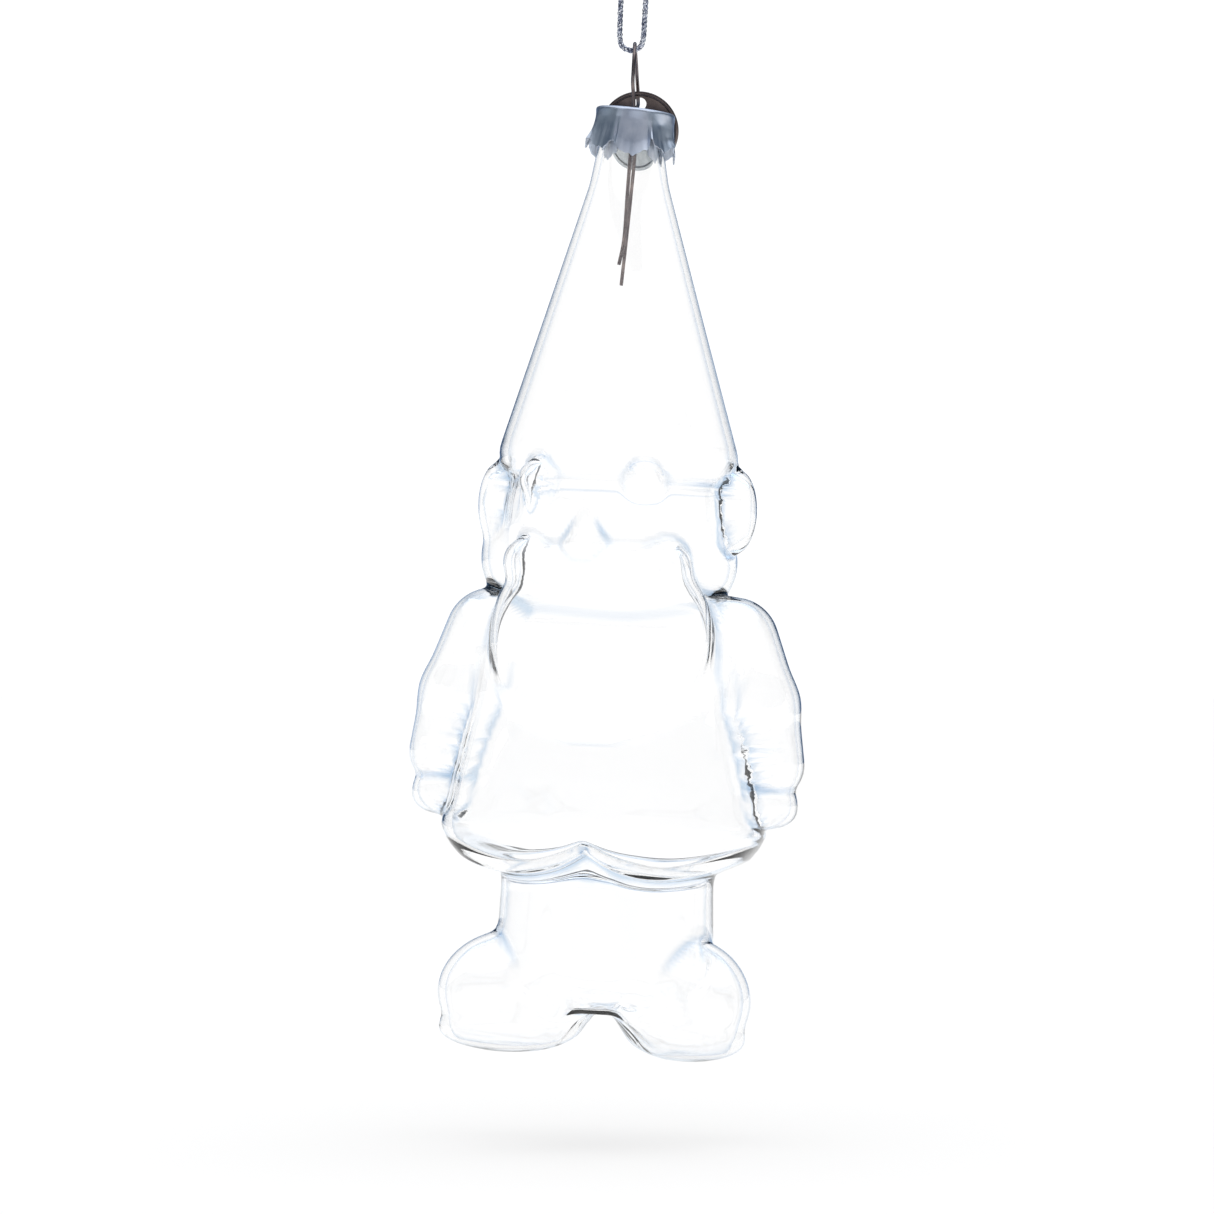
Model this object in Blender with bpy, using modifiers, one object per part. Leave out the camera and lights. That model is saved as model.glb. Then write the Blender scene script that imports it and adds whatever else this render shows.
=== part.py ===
"""Clear glass gnome ornament on its wire hanger, as it hangs from the top of its cord loop.

Sizes are in millimetres and MM turns them into metres when a mesh is made. The origin is the
top of the cord's knot, +Z is up, the gnome faces -Y and its left side is at +X. Heights are
negative, because everything hangs below the origin. The wire's plane is Y-Z, and the gnome is
turned a little from it.
"""

import math

import bmesh
import bpy
import numpy as np

MM = 0.001
GAP = 0.3  # what two touching pieces keep between them

# The cord loop and its knot.
CORD_DIAMETER = 0.75
KNOT_HEIGHT = 4.4
KNOT_WIDTH = 3.4
EYE_DROP = 20.0  # from the top of the knot to the top of the wire's eye

# The hairpin hanger.
WIRE_DIAMETER = 0.55
LEG_CLEARANCE = 0.9  # from the neck's bore to the middle of each leg

# The crown cap.
CAP_DROP = 10.3  # from the top of the wire's eye to the cap's top face
CAP_SHEET = 0.3
CAP_HEIGHT = 6.7
CAP_SHOULDER = 0.5
CAP_FLARE = 0.95
CAP_PANELS = 8
PLEAT_DEPTH = 0.3
PETAL_DROP = 0.9
CAP_SHIFT = 0.55  # the cap sits a little askew on the neck
CAP_TILT = 4.5  # degrees
LEG_HOLE_DIAMETER = 1.3

# The blown glass.
NECK_DIAMETER = 9.8
NECK_CLEARANCE = 0.8  # from the neck to the inside of the cap's skirt
NECK_LENGTH = 4.5
GLASS_WALL = 0.9
GLASS_WIDTH = 60.0
GLASS_DEPTH = 42.0
GLASS_HEIGHT = 140.5
GLASS_TURN = -11.0  # degrees about the vertical, as the gnome has turned in its cap
COLUMNS = 44
ROWS = 52

# The pierced disc.
DISC_DIAMETER = 12.0
DISC_PLATE = 0.4
DISC_RIM = 0.16  # how far the rim stands proud of each face
DISC_RIM_WIDTH = 0.7
DISC_HOLE_DIAMETER = 1.9
DISC_HOLE_INSET = 1.9  # from the disc's edge to the centre of its hole
DISC_STEPS = 40
DISC_STAND_OFF = 0.33  # from the cap's side back to the hole that it hangs by
DISC_REST = 0.13  # between its rim and the petals that it leans on
DISC_SIDE = 1.15
DISC_DROP = 8.65  # from the top of the wire's eye to the centre of the hole that it hangs by

# The cord's route as (right, up) from the top of the wire's eye: from the knot, down, under
# the wire and up again.
CORD_ROUTE = [
    (-0.75, 15.2),
    (-1.35, 13.4),
    (-1.95, 11.0),
    (-2.25, 8.4),
    (-2.36, 5.8),
    (-2.36, 3.2),
    (-2.31, 0.9),
    (-2.07, -0.41),
    (-1.42, -1.06),
    (-0.53, -1.30),
    (0.36, -1.06),
    (1.01, -0.41),
    (1.25, 0.9),
    (1.30, 3.2),
    (1.36, 5.8),
    (1.36, 8.4),
    (1.25, 11.0),
    (0.95, 13.4),
    (0.55, 15.2),
]

# The wire's route as (right, back, up) from the top of its eye: up the front leg, over the
# eye, behind the disc's upper rim, forward through its hole and down the rear leg. It is drawn
# for legs DRAWN_LEG and a disc's hole DRAWN_HOLE back from the middle.
DRAWN_LEG = 3.1
DRAWN_HOLE = 6.33
WIRE_ROUTE = [
    (-1.07, -3.08, -33.8),
    (-0.45, -3.10, -29.7),
    (-0.20, -3.00, -22.0),
    (0.02, -2.95, -16.5),
    (0.20, -2.92, -11.5),
    (0.18, -2.95, -9.6),
    (0.05, -3.15, -8.0),
    (-0.10, -3.45, -6.4),
    (-0.08, -3.45, -4.4),
    (-0.04, -2.95, -2.4),
    (-0.02, -1.70, -0.85),
    (0.0, 0.0, -0.275),
    (0.08, 2.0, -0.85),
    (0.30, 4.4, -2.6),
    (0.55, 6.5, -4.9),
    (0.75, 7.7, -6.6),
    (0.80, 7.75, -7.6),
    (0.85, 7.15, -8.35),
    (0.86, 6.33, -8.75),
    (0.80, 5.3, -9.12),
    (0.70, 4.3, -9.38),
    (0.72, 3.5, -9.70),
    (0.74, 3.10, -10.3),
    (0.75, 3.00, -11.2),
    (0.68, 2.95, -16.5),
    (0.25, 3.05, -24.0),
    (-0.22, 3.10, -31.0),
    (-0.62, 3.12, -36.5),
]

# The gnome is drawn 60 wide, 42 deep and 140.5 tall; heights are depths below the neck's lip.
DRAWN = np.array([60.0, 42.0, 140.5])
# Turned forms: rows of (depth, half width, half thickness).
HAT = [
    (10.2, 5.9, 5.9),
    (15.9, 7.6, 7.4),
    (30.9, 12.1, 11.3),
    (50.6, 18.1, 15.5),
    (52.8, 17.7, 15.4),
    (55.0, 15.6, 14.6),
]
JACKET = [
    (69.0, 13.0, 10.0),
    (73.0, 17.0, 12.5),
    (77.0, 19.2, 14.0),
    (81.0, 20.3, 15.0),
    (91.0, 21.4, 16.2),
    (99.0, 22.6, 17.2),
    (106.0, 24.0, 17.8),
    (110.5, 24.3, 17.6),
    (113.2, 23.4, 16.8),
    (114.6, 21.6, 15.2),
]
TROUSERS = [
    (106.0, 15.0, 11.4),
    (117.0, 15.2, 11.6),
    (126.0, 16.0, 12.2),
    (131.0, 14.5, 11.0),
    (134.2, 9.0, 7.0),
]
# Round forms: name: (centre, radii, turn about the vertical in degrees, mirrored).
ROUND_FORMS = {
    "head": ((0, -0.5, 60.4), (16.6, 15.8, 16.4), 0, False),
    "hair": ((0, 3.0, 66.5), (19.5, 13.5, 12.5), 0, False),
    "ear": ((18.3, 0.5, 58.6), (2.9, 4.6, 6.3), 0, True),
    "cheek": ((10.4, -12.6, 67.4), (3.9, 4.7, 3.9), 0, True),
    "beard": ((0.6, -10.9, 78.6), (16.9, 10.8, 16.6), 0, False),
    "hand": ((24.5, -0.8, 102.6), (4.9, 6.2, 4.9), 0, True),
    "boot": ((12.2, -3.4, 131.4), (8.2, 13.2, 8.9), 50, True),
    "sole": ((13.4, -4.2, 136.8), (6.4, 11.6, 3.7), 50, True),
}
# Limbs: name: (upper centre, upper radius, lower centre, lower radius), mirrored.
LIMBS = {
    "brow": ((8.2, -13.7, 54.8), 2.6, (7.4, -8.6, 63.0), 1.6),
    "nose": ((0, -15.0, 60.9), 0.9, (0, -15.2, 64.4), 2.7),
    "upper arm": ((18.4, 0.5, 78.2), 6.9, (22.5, 0, 87.5), 6.3),
    "forearm": ((22.5, 0, 87.5), 6.3, (25.1, -0.5, 96.2), 5.0),
    "leg": ((7.6, -1.0, 110.0), 8.0, (7.8, -1.0, 128.0), 8.3),
}
LIMB_FLATNESS = 0.72  # a limb's width over its thickness from front to back
SOLE_DEPTH = 140.5
BLEND = 1.6  # how softly one form runs into the next
FACE_SHIFT = -1.4  # of the hair, brows and nose
FEET_SHIFT = 1.0  # of the trousers and boots
JACKET_SQUARENESS = 2.6  # the power of its sections, where an oval's is 2
CLEFT_LIFT = 4.9  # how far the hem rises at the front
CLEFT_WIDTH = 5.0
SIDE_LIFT = 5.0  # how far the hem rises at each side
FAN_CENTRE = (0.0, -2.5, 129.0)  # the lower body is lofted round this point

COLOURS = {
    "clear_glass": ((0.93, 0.96, 1.0), 0.02, 0.0),
    "cap_metal": ((0.42, 0.47, 0.55), 0.38, 1.0),
    "wire_steel": ((0.16, 0.14, 0.13), 0.35, 1.0),
    "disc_steel": ((0.12, 0.11, 0.10), 0.3, 1.0),
    "tinsel": ((0.62, 0.66, 0.74), 0.3, 0.8),
}


def clear_scene():
    for obj in list(bpy.data.objects):
        bpy.data.objects.remove(obj)


def new_collection(name):
    collection = bpy.data.collections.new(name)
    bpy.context.scene.collection.children.link(collection)
    return collection


def material(name):
    colour, roughness, metallic = COLOURS[name]
    made = bpy.data.materials.new(name)
    made.use_nodes = True
    shader = made.node_tree.nodes["Principled BSDF"]
    shader.inputs["Base Color"].default_value = (*colour, 1.0)
    shader.inputs["Roughness"].default_value = roughness
    shader.inputs["Metallic"].default_value = metallic
    return made


def add_object(name, data, collection, material_name=None):
    obj = bpy.data.objects.new(name, data)
    collection.objects.link(obj)
    if material_name:
        data.materials.append(material(material_name))
    return obj


def add_empty(name, collection, place):
    empty = bpy.data.objects.new(name, None)
    empty.empty_display_size = 3 * MM
    empty.location = [value * MM for value in place]
    collection.objects.link(empty)
    return empty


def add_modifier(obj, kind, **settings):
    modifier = obj.modifiers.new(kind.title(), kind)
    for key, value in settings.items():
        setattr(modifier, key, value)
    return modifier


def loft(name, rings, poles=(None, None)):
    """A mesh through closed rings of equal length, with a pole point at either end or none."""
    mesh = bmesh.new()
    rows = [[mesh.verts.new(point * MM) for point in ring] for ring in rings]
    count = len(rows[0])
    for upper, lower in zip(rows, rows[1:]):
        for i in range(count):
            j = (i + 1) % count
            mesh.faces.new((upper[i], lower[i], lower[j], upper[j]))
    for pole, row, first in zip(poles, (rows[0], rows[-1]), (True, False)):
        if pole is None:
            continue
        tip = mesh.verts.new(np.array(pole) * MM)
        for i in range(count):
            j = (i + 1) % count
            mesh.faces.new((tip, row[i], row[j]) if first else (tip, row[j], row[i]))
    data = bpy.data.meshes.new(name)
    mesh.to_mesh(data)
    mesh.free()
    data.shade_smooth()
    data.set_sharp_from_angle(angle=math.radians(50))
    return data


def smooth_route(route, step):
    """Points about step apart on a Catmull-Rom curve through the route's points."""
    points = np.array(route, float)
    ends = [2 * points[0] - points[1]], [2 * points[-1] - points[-2]]
    padded = np.concatenate([ends[0], points, ends[1]])
    curve = [points[0]]
    for p0, p1, p2, p3 in zip(padded, padded[1:], padded[2:], padded[3:]):
        count = max(1, round(float(np.linalg.norm(p2 - p1)) / step))
        for t in np.arange(1, count + 1) / count:
            curve.append(
                0.5
                * (
                    2 * p1
                    + (p2 - p0) * t
                    + (2 * p0 - 5 * p1 + 4 * p2 - p3) * t**2
                    + (3 * p1 - p0 - 3 * p2 + p3) * t**3
                )
            )
    return np.array(curve)


def tube(name, points, diameter, collection, material_name):
    """A round tube along the points, with filled caps."""
    curve = bpy.data.curves.new(name, "CURVE")
    curve.dimensions = "3D"
    curve.bevel_depth = diameter / 2 * MM
    curve.bevel_resolution = 2
    curve.use_fill_caps = True
    spline = curve.splines.new("POLY")
    spline.points.add(len(points) - 1)
    for point, place in zip(spline.points, points):
        point.co = (*(place * MM), 1.0)
    spline.use_smooth = True
    return add_object(name, curve, collection, material_name)


# ---------------------------------------------------------------- the glass gnome


def soft_union(first, second, blend):
    """The smaller of two distances, rounded off where they are within blend of each other."""
    near = np.maximum(blend - np.abs(first - second), 0.0)
    return np.minimum(first, second) - near * near / (4 * blend)


def round_form(points, centre, radii, turn, side):
    """Distance to an ellipsoid that is turned about the vertical."""
    centre = np.array(centre, float) * (side, 1, 1)
    angle = math.radians(turn) * side
    offset = points - centre
    across = offset[..., 0] * math.cos(angle) + offset[..., 1] * math.sin(angle)
    along = offset[..., 1] * math.cos(angle) - offset[..., 0] * math.sin(angle)
    local = np.stack([across, along, offset[..., 2]], axis=-1)
    near = np.linalg.norm(local / radii, axis=-1)
    slope = np.linalg.norm(local / np.square(radii), axis=-1)
    return near * (near - 1) / np.maximum(slope, 1e-9)


def limb(points, upper, upper_radius, lower, lower_radius, side):
    """Distance to an oval limb that tapers from its upper centre to its lower one."""
    flatten = np.array([1, LIMB_FLATNESS, 1])
    start = upper * flatten * (side, 1, 1)
    run = lower * flatten * (side, 1, 1) - start
    share = np.clip((points * flatten - start) @ run / (run @ run), 0, 1)
    away = np.linalg.norm(points * flatten - start - share[..., None] * run, axis=-1)
    return away - upper_radius - (lower_radius - upper_radius) * share


def turned_form(points, profile, squareness=2.0):
    """Distance to a form with rounded sections, cut level at both ends of its profile."""
    depth, half_width, half_thickness = np.array(profile, float).T
    level = points[..., 2]
    across = np.interp(level, depth, half_width)
    through = np.interp(level, depth, half_thickness)
    offset = np.stack([points[..., 0] / across, points[..., 1] / through])
    near = (np.abs(offset) ** squareness).sum(axis=0) ** (1 / squareness)
    wall = (near - 1) * np.minimum(across, through)
    return np.maximum(wall, np.maximum(depth[0] - level, level - depth[-1]))


def lip_drop():
    """From the origin down to the neck's lip, just clear of the cap's tilted plate."""
    dip = NECK_DIAMETER / 2 * math.sin(math.radians(CAP_TILT))
    return EYE_DROP + CAP_DROP + CAP_SHEET + dip + GAP


def figure_scale():
    return np.array([GLASS_WIDTH, GLASS_DEPTH, GLASS_HEIGHT]) / DRAWN


def hat_profile():
    """The round neck that the cap fits, widening into the hat."""
    radius = NECK_DIAMETER / 2
    neck = [
        (-5.0, radius, radius),
        (NECK_LENGTH, radius, radius),
        (NECK_LENGTH + 2.5, radius + 0.45, radius + 0.45),
    ]
    return neck + [tuple(row) for row in np.array(HAT) * figure_scale()[[2, 0, 1]]]


def figure_distance(points):
    """Distance from points to the gnome's outer skin, negative inside."""
    scale = figure_scale()
    girth = scale[0]
    face = points - (FACE_SHIFT * girth, 0, 0)
    feet = points - (FEET_SHIFT * girth, 0, 0)
    shifted = dict.fromkeys(("hair", "brow", "nose"), face)
    shifted.update(dict.fromkeys(("leg", "boot", "sole"), feet))
    found = turned_form(points, hat_profile())
    for at, profile, squareness in ((points, JACKET, JACKET_SQUARENESS), (feet, TROUSERS, 2.0)):
        form = turned_form(at, np.array(profile) * scale[[2, 0, 1]], squareness)
        found = soft_union(found, form, BLEND)
    for name, (centre, radii, turn, mirrored) in ROUND_FORMS.items():
        for side in (1, -1) if mirrored else (1,):
            at = shifted.get(name, points)
            form = round_form(at, centre * scale, radii * scale, turn, side)
            found = soft_union(found, form, BLEND)
    for name, (upper, upper_radius, lower, lower_radius) in LIMBS.items():
        for side in (1, -1):
            at = shifted.get(name, points)
            radii = upper_radius * girth, lower_radius * girth
            form = limb(at, upper * scale, radii[0], lower * scale, radii[1], side)
            found = soft_union(found, form, BLEND)
    return np.maximum(found, points[..., 2] - SOLE_DEPTH * scale[2])


def skin(levels, columns, inset):
    """Rings of points on the gnome's skin, or inset from it by a wall's thickness.

    A level from 0 to 1 goes down the middle from the lip to the fan's centre, and its ring is
    where level rays from there leave the figure. A level from 1 to 2 tips the rays down, from
    level to straight down, about the fan's centre.
    """
    fan = np.array(FAN_CENTRE) * figure_scale()
    share = np.clip(levels, 0, 1)[:, None]
    tip = np.clip(levels - 1, 0, 1)[:, None] * math.pi / 2
    turn = np.arange(columns) / columns * 2 * math.pi
    start = np.stack([0 * share, fan[1] * share**2, fan[2] * share], axis=-1)
    heading = np.stack(
        [np.sin(turn) * np.cos(tip), -np.cos(turn) * np.cos(tip), np.sin(tip) + 0 * turn],
        axis=-1,
    )
    reach = np.linspace(0, 0.75 * GLASS_WIDTH, 90)
    tried = start[:, :, None] + heading[:, :, None] * reach[:, None]
    inside = figure_distance(tried) < -inset
    last = len(reach) - 1 - np.argmax(inside[..., ::-1], axis=-1)
    near, far = reach[last], reach[np.minimum(last + 1, len(reach) - 1)]
    for _ in range(24):
        middle = (near + far) / 2
        within = figure_distance(start + heading * middle[..., None]) < -inset
        near, far = np.where(within, middle, near), np.where(within, far, middle)
    return start + heading * near[..., None]


def lift_hem(points):
    """Draws the jacket's hem up at both sides and to a cleft at the front."""
    scale = figure_scale()
    hem = JACKET[-1][0] * scale[2]
    aside = np.abs(points[..., 0]) / (GLASS_WIDTH * 0.4)
    across = np.hypot(points[..., 0], 0.6) / (CLEFT_WIDTH * scale[0])
    front = np.clip(-points[..., 1] / (8 * scale[1]), 0, 1)
    near_hem = np.exp(-np.square((points[..., 2] - hem) / (7 * scale[2])))
    lifted = points.copy()
    lift = CLEFT_LIFT * np.exp(-across) * front + SIDE_LIFT * np.minimum(aside, 1) ** 3
    lifted[..., 2] -= lift * scale[2] * near_hem
    return lifted


def even_levels(rows):
    """Levels spaced so that the rings lie about evenly along the figure's outline."""
    fine = np.linspace(0, 2, 241)
    rings = skin(fine, 24, 0.0)
    steps = np.linalg.norm(np.diff(rings, axis=0), axis=-1).max(axis=1)
    along = np.concatenate([[0], np.cumsum(steps)])
    return np.interp(np.linspace(0, along[-1], rows + 1), along, fine)[:-1]


def glass_gnome(collection):
    """The blown shell: the outer skin up to the lip, and the inner skin down from it."""
    levels = even_levels(ROWS)
    lip = np.array([0, 0, -lip_drop()])
    to_world = np.array([1, 1, -1])
    outer = lift_hem(skin(levels, COLUMNS, 0.0)) * to_world + lip
    inner = lift_hem(skin(levels, COLUMNS, GLASS_WALL)) * to_world + lip
    bottoms = [
        lift_hem(skin(np.array([2.0]), 4, inset))[0, 0] * to_world + lip
        for inset in (0.0, GLASS_WALL)
    ]
    rings = [*inner[::-1], *outer]
    data = loft("glass_gnome", rings, (bottoms[1], bottoms[0]))
    gnome = add_object("glass_gnome", data, collection, "clear_glass")
    gnome.rotation_euler = (0, 0, math.radians(GLASS_TURN))
    return gnome


# ---------------------------------------------------------------- the cap, wire, disc and cord


def cap_radius():
    return NECK_DIAMETER / 2 + NECK_CLEARANCE + CAP_SHEET


def disc_back():
    return cap_radius() + DISC_STAND_OFF


def disc_lean():
    """The angle at which the disc leans on the petals' tips."""
    proud = DISC_PLATE / 2 + DISC_RIM
    tips = cap_radius() + CAP_FLARE + proud + DISC_REST
    return math.atan2(tips - disc_back(), CAP_DROP + CAP_HEIGHT - DISC_DROP)


def wire_points():
    """The wire's route, with its legs set to the neck's bore and its rear to the disc's hole."""
    leg = NECK_DIAMETER / 2 - GLASS_WALL - LEG_CLEARANCE
    drawn = [-2 * DRAWN_LEG, -DRAWN_LEG, DRAWN_LEG, DRAWN_HOLE, 2 * DRAWN_HOLE - DRAWN_LEG]
    actual = [-2 * leg, -leg, leg, disc_back(), 2 * disc_back() - leg]
    route = np.array(WIRE_ROUTE)
    route[:, 1] = np.interp(route[:, 1], drawn, actual)
    return smooth_route(route, 2 * WIRE_DIAMETER) + (0, 0, -EYE_DROP)


def cap_ring(radius, drop, pleat, petal):
    """One ring of the cap: flat panels that meet in pleats, and a lower edge of petals."""
    per_panel = 6
    turn = (np.arange(CAP_PANELS * per_panel) + 0.5) / per_panel
    across = (turn % 1 - 0.5) * 2
    angle = (turn - 0.5) * 2 * math.pi / CAP_PANELS
    flat = np.cos(math.pi / CAP_PANELS * 0.5) / np.cos(across * math.pi / CAP_PANELS)
    out = radius * (1 + (flat - 1) * min(1, pleat * 4)) - pleat * across**8
    fall = drop - petal * across**4
    return np.stack([out * np.sin(angle), -out * np.cos(angle), -fall], axis=-1)


def crown_cap(collection, cutters, wire):
    """The stamped cap: a top plate with two leg holes, and a pleated skirt with petals."""
    radius = cap_radius()
    shoulder = [
        cap_ring(
            radius - CAP_SHOULDER * (1 - math.sin(angle)),
            CAP_SHOULDER * (1 - math.cos(angle)),
            0.0,
            0.0,
        )
        for angle in np.linspace(0, math.pi / 2, 4)
    ]
    skirt = []
    for share in (0.25, 0.5, 0.75, 0.9, 1.0):
        drop = CAP_SHOULDER + (CAP_HEIGHT - CAP_SHOULDER) * share
        out = radius + CAP_FLARE * share**2
        skirt.append(cap_ring(out, drop, PLEAT_DEPTH * share, PETAL_DROP * share**4))
    plate = [cap_ring(radius * share, 0.0, 0.0, 0.0) for share in (0.3, 0.6)]
    data = loft("crown_cap", plate + shoulder + skirt, ((0, 0, 0), None))
    cap = add_object("crown_cap", data, collection, "cap_metal")
    cap.location = (CAP_SHIFT * MM, 0, -(EYE_DROP + CAP_DROP) * MM)
    cap.rotation_euler = (0, math.radians(CAP_TILT), 0)
    add_modifier(cap, "SOLIDIFY", thickness=CAP_SHEET * MM, offset=-1, use_even_offset=True)
    middle = -(EYE_DROP + CAP_DROP + CAP_SHEET / 2)
    for index, (above, below) in enumerate(crossings(wire, middle)):
        share = (above[2] - middle) / (above[2] - below[2])
        place = above + (below - above) * share
        cutter = rod_cutter(f"leg_hole_{index}", LEG_HOLE_DIAMETER, 3.0, cutters)
        cutter.location = place * MM
        add_modifier(cap, "BOOLEAN", operation="DIFFERENCE", object=cutter, solver="EXACT")
    return cap


def crossings(wire, height):
    """The stretches of the wire that pass through a height, each with its upper end first."""
    found = []
    for first, second in zip(wire, wire[1:]):
        if (first[2] - height) * (second[2] - height) < 0:
            found.append((first, second) if first[2] > second[2] else (second, first))
    return found


def rod_cutter(name, diameter, length, cutters):
    mesh = bmesh.new()
    bmesh.ops.create_cone(
        mesh,
        cap_ends=True,
        segments=20,
        radius1=diameter / 2 * MM,
        radius2=diameter / 2 * MM,
        depth=length * MM,
    )
    data = bpy.data.meshes.new(name)
    mesh.to_mesh(data)
    mesh.free()
    cutter = add_object(name, data, cutters)
    cutter.hide_render = True
    cutter.display_type = "WIRE"
    return cutter


def tag_disc(collection, cutters):
    """The pierced disc with its raised rim, hung by its one hole. Its origin is that hole."""
    radius = DISC_DIAMETER / 2
    half = DISC_PLATE / 2
    proud = half + DISC_RIM
    inner = radius - DISC_RIM_WIDTH
    face = [(0.0, half), (inner * 0.5, half), (inner, half), (inner + 0.15, proud)]
    edge = [(radius - 0.12, proud), (radius, proud - 0.12)]
    profile = face + edge + [(r, -z) for r, z in reversed(face + edge)]
    mesh = bmesh.new()
    points = [mesh.verts.new((r * MM, 0, z * MM)) for r, z in profile]
    for first, second in zip(points, points[1:]):
        mesh.edges.new((first, second))
    data = bpy.data.meshes.new("tag_disc")
    mesh.to_mesh(data)
    mesh.free()
    disc = add_object("tag_disc", data, collection, "disc_steel")
    hole = (DISC_SIDE, disc_back(), -(EYE_DROP + DISC_DROP))
    pivot = add_empty("disc_pivot", collection, hole)
    pivot.rotation_euler = (math.pi / 2 + disc_lean(), 0, 0)
    to_hole = radius - DISC_HOLE_INSET
    disc.parent = pivot
    disc.location = (0, -to_hole * MM, 0)
    add_modifier(
        disc,
        "SCREW",
        steps=DISC_STEPS,
        render_steps=DISC_STEPS,
        use_merge_vertices=True,
        merge_threshold=0.00001,
        use_smooth_shade=False,
    )
    cutter = rod_cutter("disc_hole", DISC_HOLE_DIAMETER, 3.0, cutters)
    cutter.parent = pivot
    add_modifier(disc, "BOOLEAN", operation="DIFFERENCE", object=cutter, solver="EXACT")
    return disc


def cord_knot(collection):
    """The knot as one closed form of its outer shape, with its top at the origin."""
    mesh = bmesh.new()
    bmesh.ops.create_uvsphere(mesh, u_segments=20, v_segments=12, radius=0.5 * MM)
    bmesh.ops.scale(mesh, vec=(KNOT_WIDTH, KNOT_WIDTH, KNOT_HEIGHT), verts=mesh.verts)
    data = bpy.data.meshes.new("cord_knot")
    mesh.to_mesh(data)
    mesh.free()
    data.shade_smooth()
    knot = add_object("cord_knot", data, collection, "tinsel")
    knot.location = (0, 0, -KNOT_HEIGHT / 2 * MM)
    return knot


def main():
    clear_scene()
    ornament = new_collection("glass_gnome_ornament")
    cutters = new_collection("cutters")
    eye = np.array([0.0, 0.0, -EYE_DROP])
    cord = smooth_route([(side, 0.0, up) for side, up in CORD_ROUTE], 2 * CORD_DIAMETER)
    wire = wire_points()
    tube("hanging_cord", cord + eye, CORD_DIAMETER, ornament, "tinsel")
    cord_knot(ornament)
    tube("hanger_wire", wire, WIRE_DIAMETER, ornament, "wire_steel")
    crown_cap(ornament, cutters, wire)
    tag_disc(ornament, cutters)
    glass_gnome(ornament)


if __name__ == "__main__":
    main()
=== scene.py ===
"""Clear glass gnome ornament: a mould-blown gnome on its crown cap, hairpin wire and tinsel cord.

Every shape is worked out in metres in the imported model's frame: the origin is the top of the
cord's knot, +Z is up and the gnome faces about -Y. Routes and drawn sizes are written in
millimetres and MM turns them into metres.
"""

import math

import bpy
import numpy as np
from bpy.props import FloatProperty, FloatVectorProperty, PointerProperty
from mathutils import Matrix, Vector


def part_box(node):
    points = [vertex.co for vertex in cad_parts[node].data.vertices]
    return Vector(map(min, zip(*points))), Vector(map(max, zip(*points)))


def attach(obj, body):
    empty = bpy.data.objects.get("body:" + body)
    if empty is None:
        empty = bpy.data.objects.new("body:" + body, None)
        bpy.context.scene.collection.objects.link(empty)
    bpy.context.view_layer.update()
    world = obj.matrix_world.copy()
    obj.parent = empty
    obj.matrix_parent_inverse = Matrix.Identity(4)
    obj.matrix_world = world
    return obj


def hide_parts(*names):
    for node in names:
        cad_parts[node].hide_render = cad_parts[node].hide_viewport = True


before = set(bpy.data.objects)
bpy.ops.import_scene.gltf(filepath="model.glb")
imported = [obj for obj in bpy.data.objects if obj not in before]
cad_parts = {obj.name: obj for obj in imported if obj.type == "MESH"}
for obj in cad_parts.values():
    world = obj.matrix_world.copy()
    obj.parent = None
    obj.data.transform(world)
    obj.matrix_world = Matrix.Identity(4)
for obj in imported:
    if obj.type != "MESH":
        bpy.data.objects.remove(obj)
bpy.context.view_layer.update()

bl_info = {
    "name": "Glass Gnome Ornament",
    "version": (1, 0, 0),
    "blender": (4, 5, 0),
    "location": "3D View > Sidebar > Ornament",
    "description": "Builds a clear blown-glass gnome ornament with its cap, wire, disc and cord",
    "category": "Add Mesh",
}

MM = 0.001
TURN = 2 * math.pi
SHARP_EDGE = math.radians(40)
CUT_LENGTH = 3 * MM  # of the rods that cut holes

# Heights of the hanging parts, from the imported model.
EYE_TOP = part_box("hanger_wire")[1].z
LIP_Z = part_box("glass_gnome")[1].z
GLASS_TALL = LIP_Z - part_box("glass_gnome")[0].z

# The cord's route as (right, up) from the top of the wire's eye: from the knot, down, under
# the wire and up again.
CORD_ROUTE = MM * np.array(
    [
        (-0.30, 17.4),
        (-0.75, 15.4),
        (-1.35, 13.4),
        (-1.95, 11.0),
        (-2.25, 8.4),
        (-2.36, 5.8),
        (-2.36, 3.2),
        (-2.31, 0.9),
        (-2.07, -0.41),
        (-1.42, -1.06),
        (-0.53, -1.30),
        (0.36, -1.06),
        (1.01, -0.41),
        (1.25, 0.9),
        (1.30, 3.2),
        (1.36, 5.8),
        (1.36, 8.4),
        (1.25, 11.0),
        (0.95, 13.4),
        (0.55, 15.4),
        (0.25, 17.4),
    ]
)

CORD_STEP = 0.06 * MM  # between the points of its path
PLY_LAY = 0.26  # how far each ply's middle lies from the cord's, of its diameter
PLY_RADIUS = 0.3  # of the cord's diameter
LAP_LENGTH = 0.42  # of the pitch, for one lap of film round its ply

# The knot: a ring that swells and dips three times in two turns.
KNOT_RADIUS = 0.9 * MM
KNOT_SWELL = 0.46 * MM
KNOT_RISE = 0.95 * MM
KNOT_DEPTH = 2.2 * MM  # of its middle below the origin
ENDS_APART = 0.3 * MM  # half the gap between its two ends' middles
ENDS_SPREAD = 0.9 * MM  # the same at their tips
PULLED_TIGHT = 0.86  # the cord's diameter in the knot, of what it is elsewhere

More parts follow.
